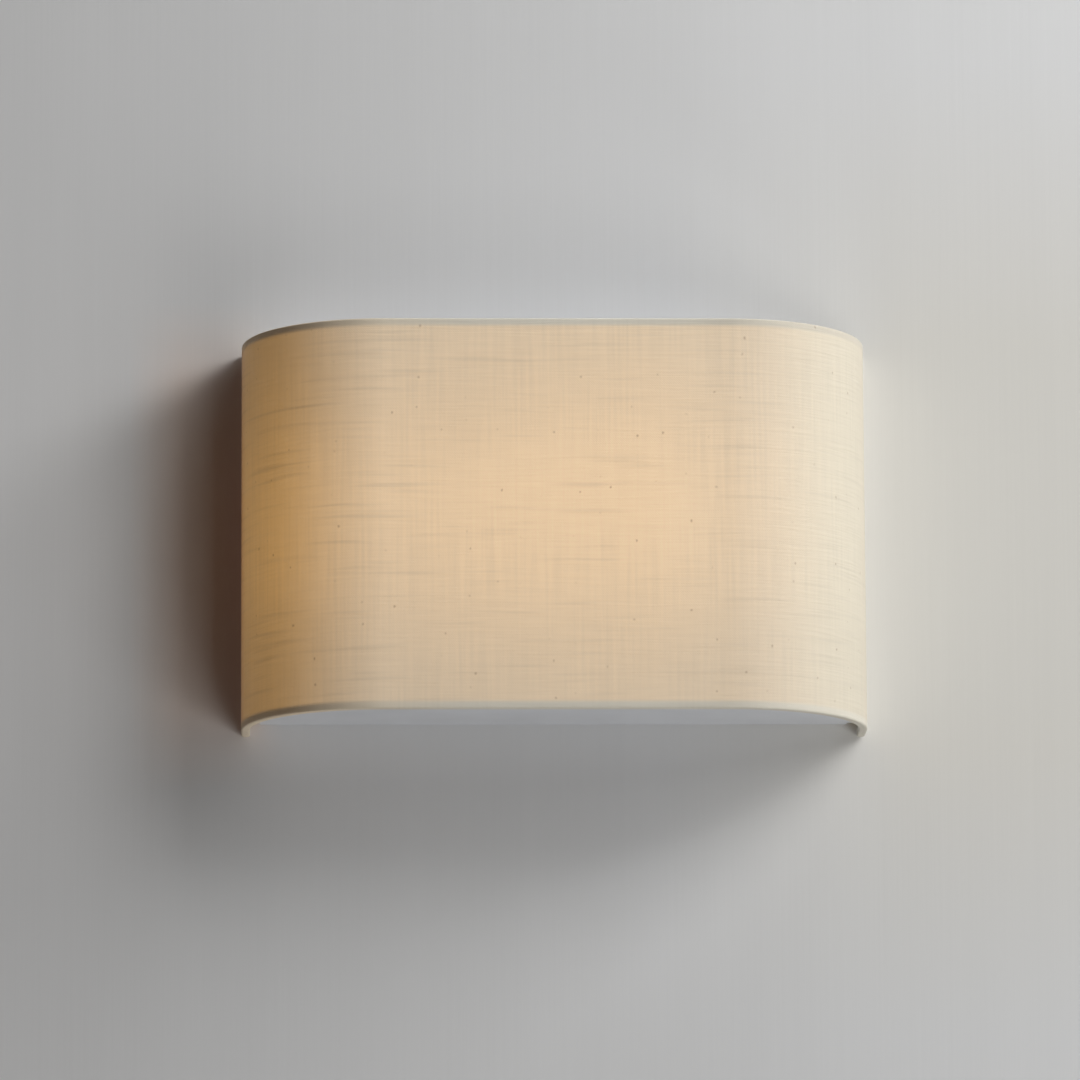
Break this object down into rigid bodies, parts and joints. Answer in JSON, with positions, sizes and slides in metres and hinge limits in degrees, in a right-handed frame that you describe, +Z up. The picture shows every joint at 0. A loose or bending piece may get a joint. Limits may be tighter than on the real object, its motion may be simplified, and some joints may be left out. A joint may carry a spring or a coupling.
{
  "type": "wall light",
  "caption": "Flush wall light: wide D-shaped natural fabric shade with rolled hems over a white steel tray with closed top and bottom and two small screw-cap globe lamps.",
  "frame": {"origin": "middle of the tray's back face, on the wall", "axes": "+X along the width, +Z up, +Y into the wall, so the shade's front faces -Y"},
  "size_m": [0.3, 0.0845, 0.188],
  "materials": {
    "shade_cloth": "natural cream plain weave with slubs and flecks",
    "liner_plastic": "translucent white lining",
    "frame_wire": "white coated steel wire and strip",
    "white_tray_paint": "satin white powder coat",
    "black_rubber": "matt",
    "plated_steel": "zinc plated",
    "holder_plastic": "moulded, white",
    "nickel_plate": "nickel plated shell",
    "brass": "bright",
    "tinned_copper": "tinned",
    "opal_glass": "opal white glass",
    "black_glass": "black glass insulator",
    "block_plastic": "moulded, natural",
    "green_lead": "green and yellow insulation",
    "brown_lead": "brown insulation",
    "blue_lead": "blue insulation"
  },
  "bodies": {
    "tray": {"block_screws": "plated_steel", "bracket_rivets": "plated_steel", "cable_bush": "black_rubber", "clamp_screws": "plated_steel", "earth_lead": "green_lead", "earth_nut": "brass", "earth_ring_terminal": "tinned_copper", "earth_stud": "brass", "earth_washer": "plated_steel", "gear_tray": "white_tray_paint", "left_centre_contact": "brass", "left_holder_base": "holder_plastic", "left_holder_sleeve": "holder_plastic", "left_inner_lead": "blue_lead", "left_lamp_bracket": "white_tray_paint", "left_nipple": "plated_steel", "left_outer_lead": "brown_lead", "left_thread_shell": "nickel_plate", "nipple_nuts": "plated_steel", "right_centre_contact": "brass", "right_holder_base": "holder_plastic", "right_holder_sleeve": "holder_plastic", "right_inner_lead": "brown_lead", "right_lamp_bracket": "white_tray_paint", "right_nipple": "plated_steel", "right_outer_lead": "blue_lead", "right_thread_shell": "nickel_plate", "shade_nuts": "plated_steel", "terminal_barrels": "brass", "terminal_block": "block_plastic"},
    "left_bulb": {"left_bulb_cap": "nickel_plate", "left_bulb_contact": "brass", "left_bulb_globe": "opal_glass", "left_bulb_insulator": "black_glass"},
    "left_thumbscrew": {"left_thumbscrew": "plated_steel"},
    "shade": {"left_upright": "frame_wire", "lower_left_tab": "frame_wire", "lower_right_tab": "frame_wire", "lower_ring": "frame_wire", "right_upright": "frame_wire", "shade_fabric": "shade_cloth", "shade_liner": "liner_plastic", "upper_left_tab": "frame_wire", "upper_right_tab": "frame_wire", "upper_ring": "frame_wire"},
    "right_bulb": {"right_bulb_cap": "nickel_plate", "right_bulb_contact": "brass", "right_bulb_globe": "opal_glass", "right_bulb_insulator": "black_glass"},
    "right_thumbscrew": {"right_thumbscrew": "plated_steel"}
  },
  "joints": [
    {"name": "shade_pull", "type": "slide", "parent": "tray", "child": "shade", "axis": [0, -1, 0], "range_m": [0, 0.1]},
    {"name": "left_bulb_out", "type": "slide", "parent": "tray", "child": "left_bulb", "axis": [0, 0, 1], "range_m": [0, 0.026]},
    {"name": "right_bulb_out", "type": "slide", "parent": "tray", "child": "right_bulb", "axis": [0, 0, 1], "range_m": [0, 0.026]},
    {"name": "left_thumbscrew_turn", "type": "hinge", "parent": "tray", "child": "left_thumbscrew", "pos_m": [-0.134, -0.011, 0.0885], "axis": [0, 0, 1], "range_deg": [0, 1080]},
    {"name": "right_thumbscrew_turn", "type": "hinge", "parent": "tray", "child": "right_thumbscrew", "pos_m": [0.134, -0.011, 0.0885], "axis": [0, 0, 1], "range_deg": [0, 1080]}
  ]
}
